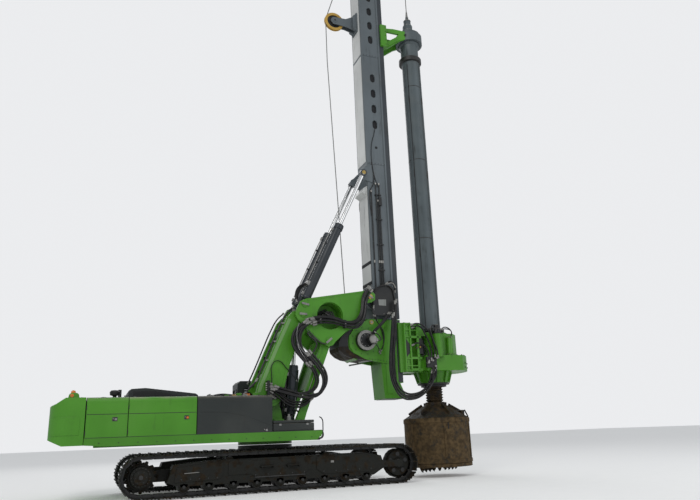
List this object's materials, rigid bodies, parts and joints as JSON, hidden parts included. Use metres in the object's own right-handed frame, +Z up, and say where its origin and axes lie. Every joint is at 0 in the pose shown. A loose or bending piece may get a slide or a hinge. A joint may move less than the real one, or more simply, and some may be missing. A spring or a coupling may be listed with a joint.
{
  "type": "rotary piling rig",
  "caption": "Crawler-mounted rotary piling rig: swinging house, parallelogram boom, tilting mast, rotary drive on the mast, telescopic kelly and drilling bucket.",
  "frame": {"origin": "on the floor under the middle of the bounding box, with the mast and the kelly standing upright", "axes": "+X forwards, from the counterweight to the rotary drive; +Y to the machine's left; +Z up"},
  "size_m": [11.35, 3.2, 17.46],
  "materials": {
    "green_paint": "satin green paint with dust and small scratches",
    "dark_panel": "satin near-black paint",
    "mast_grey": "satin blue-grey paint, streaked",
    "kelly_grey": "worn blue-grey paint over steel",
    "track_steel": "dark steel, dusty and oiled",
    "black_steel": "black paint, greasy",
    "chrome": "ground and plated ram rod",
    "muddy_steel": "steel under dried brown mud",
    "cab_glass": "tinted safety glass",
    "seat_cloth": "dark woven seat cloth",
    "ochre_paint": "worn ochre paint"
  },
  "bodies": {
    "undercarriage": {"car_body": "track_steel", "swing_ring": "black_steel", "track_frame_left": "track_steel", "track_frame_right": "track_steel", "track_left": "track_steel", "track_right": "track_steel", "sprocket_left": "track_steel", "sprocket_right": "track_steel", "idler_left": "track_steel", "idler_right": "track_steel"},
    "house": {"deck": "green_paint", "counterweight": "green_paint", "house_shell": "dark_panel", "engine": "black_steel", "tool_box": "dark_panel", "cab_shell": "dark_panel", "cab_side_glass": "cab_glass", "seat": "seat_cloth"},
    "door_right_rear": {"door_right_rear": "green_paint"},
    "door_right_middle": {"door_right_middle": "green_paint"},
    "door_right_front": {"door_right_front": "dark_panel"},
    "door_left_rear": {"door_left_rear": "green_paint"},
    "door_left_middle": {"door_left_middle": "green_paint"},
    "hood_lid": {"hood_lid": "dark_panel"},
    "tool_box_lid": {"tool_box_lid": "dark_panel"},
    "cab_door": {"cab_door": "green_paint"},
    "boom": {"boom": "green_paint"},
    "boom_link": {"boom_link": "green_paint"},
    "triangle": {"triangle": "green_paint"},
    "lift_barrels": {"lift_barrel_left": "black_steel", "lift_barrel_right": "black_steel"},
    "lift_rods": {"lift_rod_left": "chrome", "lift_rod_right": "chrome"},
    "tilt_barrels": {"tilt_barrel_left": "black_steel", "tilt_barrel_right": "black_steel"},
    "tilt_rods": {"tilt_rod_left": "chrome", "tilt_rod_right": "chrome"},
    "mast": {"mast": "mast_grey", "mast_foot": "green_paint", "mast_head": "green_paint", "winch_motor": "black_steel", "rear_arm": "mast_grey"},
    "winch_drum": {"winch_drum": "black_steel"},
    "rear_sheave": {"rear_sheave": "ochre_paint"},
    "crown_sheave_front": {"crown_sheave_front": "black_steel"},
    "crown_sheave_rear": {"crown_sheave_rear": "black_steel"},
    "rotary": {"rotary_sled": "green_paint", "rotary_gearbox": "green_paint"},
    "drive_sleeve": {"drive_sleeve": "black_steel"},
    "kelly_guide": {"kelly_guide": "green_paint", "kelly_swivel": "kelly_grey"},
    "kelly": {"kelly_outer": "kelly_grey"},
    "kelly_bar": {"kelly_inner": "black_steel", "bucket": "muddy_steel"},
    "bucket_flap": {"bucket_flap": "muddy_steel"}
  },
  "joints": [
    {"name": "swing", "type": "hinge", "parent": "undercarriage", "child": "house", "pos_m": [-0.525, 0, 1.07], "axis": [0, 0, 1], "continuous": true},
    {"name": "door_right_rear", "type": "hinge", "parent": "house", "child": "door_right_rear", "pos_m": [-4.923, -1.505, 1.8], "axis": [0, 0, -1], "range_deg": [0, 90]},
    {"name": "door_right_middle", "type": "hinge", "parent": "house", "child": "door_right_middle", "pos_m": [-4.037, -1.505, 1.8], "axis": [0, 0, -1], "range_deg": [0, 90]},
    {"name": "door_right_front", "type": "hinge", "parent": "house", "child": "door_right_front", "pos_m": [-2.517, -1.505, 1.8], "axis": [0, 0, -1], "range_deg": [0, 90]},
    {"name": "door_left_rear", "type": "hinge", "parent": "house", "child": "door_left_rear", "pos_m": [-4.923, 1.505, 1.8], "axis": [0, 0, 1], "range_deg": [0, 90]},
    {"name": "door_left_middle", "type": "hinge", "parent": "house", "child": "door_left_middle", "pos_m": [-4.037, 1.505, 1.8], "axis": [0, 0, 1], "range_deg": [0, 90]},
    {"name": "hood_lid", "type": "hinge", "parent": "house", "child": "hood_lid", "pos_m": [-3.205, 0.62, 2.251], "axis": [-1, 0, 0], "range_deg": [0, 60]},
    {"name": "tool_box_lid", "type": "hinge", "parent": "house", "child": "tool_box_lid", "pos_m": [-0.175, -0.8, 1.57], "axis": [-1, 0, 0], "range_deg": [0, 80]},
    {"name": "cab_door", "type": "hinge", "parent": "house", "child": "cab_door", "pos_m": [-0.765, 1.485, 1.9], "axis": [0, 0, 1], "range_deg": [0, 90]},
    {"name": "boom_lift", "type": "hinge", "parent": "house", "child": "boom", "pos_m": [-0.505, 0, 2.28], "axis": [0, 1, 0], "range_deg": [-8, 12]},
    {"name": "link_swing", "type": "hinge", "parent": "house", "child": "boom_link", "pos_m": [0.235, 0, 1.55], "axis": [0, 1, 0], "range_deg": [-8, 12]},
    {"name": "triangle_level", "type": "hinge", "parent": "boom", "child": "triangle", "pos_m": [0.335, 0, 4.45], "axis": [0, 1, 0], "range_deg": [-12, 8]},
    {"name": "lift_barrel_swing", "type": "hinge", "parent": "house", "child": "lift_barrels", "pos_m": [0.075, 0, 1.62], "axis": [0, 1, 0], "range_deg": [-6.5, 9.5]},
    {"name": "lift_rod_slide", "type": "slide", "parent": "lift_barrels", "child": "lift_rods", "axis": [0.0716, 0, 0.9974], "range_m": [-0.15, 0.1]},
    {"name": "mast_tilt", "type": "hinge", "parent": "triangle", "child": "mast", "pos_m": [2.375, 0, 5], "axis": [0, 1, 0], "range_deg": [-15, 5]},
    {"name": "tilt_barrel_swing", "type": "hinge", "parent": "triangle", "child": "tilt_barrels", "pos_m": [0.435, 0, 4.745], "axis": [0, 1, 0], "range_deg": [-13, 5]},
    {"name": "tilt_rod_slide", "type": "slide", "parent": "tilt_barrels", "child": "tilt_rods", "axis": [0.4313, 0, 0.9022], "range_m": [-0.5, 0.2]},
    {"name": "winch_drum", "type": "hinge", "parent": "mast", "child": "winch_drum", "pos_m": [2.275, 0, 3.78], "axis": [0, 1, 0], "continuous": true},
    {"name": "rear_sheave", "type": "hinge", "parent": "mast", "child": "rear_sheave", "pos_m": [1.835, 0, 14.56], "axis": [0, 1, 0], "continuous": true},
    {"name": "crown_sheave_front", "type": "hinge", "parent": "mast", "child": "crown_sheave_front", "pos_m": [4.315, 0, 17.12], "axis": [0, 1, 0], "continuous": true},
    {"name": "crown_sheave_rear", "type": "hinge", "parent": "mast", "child": "crown_sheave_rear", "pos_m": [2.615, 0, 16.98], "axis": [0, 1, 0], "continuous": true},
    {"name": "rotary_crowd", "type": "slide", "parent": "mast", "child": "rotary", "axis": [0, 0, 1], "range_m": [-0.2, 3]},
    {"name": "drive_spin", "type": "hinge", "parent": "rotary", "child": "drive_sleeve", "pos_m": [4.625, 0, 3.5], "axis": [0, 0, 1], "continuous": true},
    {"name": "kelly_hoist", "type": "slide", "parent": "mast", "child": "kelly_guide", "axis": [0, 0, 1], "range_m": [-5, 0.2]},
    {"name": "kelly_spin", "type": "hinge", "parent": "kelly_guide", "child": "kelly", "pos_m": [4.625, 0, 8.5], "axis": [0, 0, 1], "continuous": true},
    {"name": "kelly_extend", "type": "slide", "parent": "kelly", "child": "kelly_bar", "axis": [0, 0, -1], "range_m": [0, 8]},
    {"name": "bucket_flap", "type": "hinge", "parent": "kelly_bar", "child": "bucket_flap", "pos_m": [3.665, 0, 0.367], "axis": [0, 1, 0], "range_deg": [0, 90]}
  ],
  "couplings": [
    {"joint": "link_swing", "follows": "boom_lift", "ratio": 1},
    {"joint": "triangle_level", "follows": "boom_lift", "ratio": -1},
    {"joint": "lift_barrel_swing", "follows": "boom_lift", "ratio": 0.731},
    {"joint": "lift_rod_slide", "follows": "boom_lift", "m_per_rad": -0.6465},
    {"joint": "tilt_barrel_swing", "follows": "mast_tilt", "ratio": 0.7912},
    {"joint": "tilt_rod_slide", "follows": "mast_tilt", "m_per_rad": 1.7119},
    {"joint": "kelly_spin", "follows": "drive_spin", "ratio": 1}
  ]
}
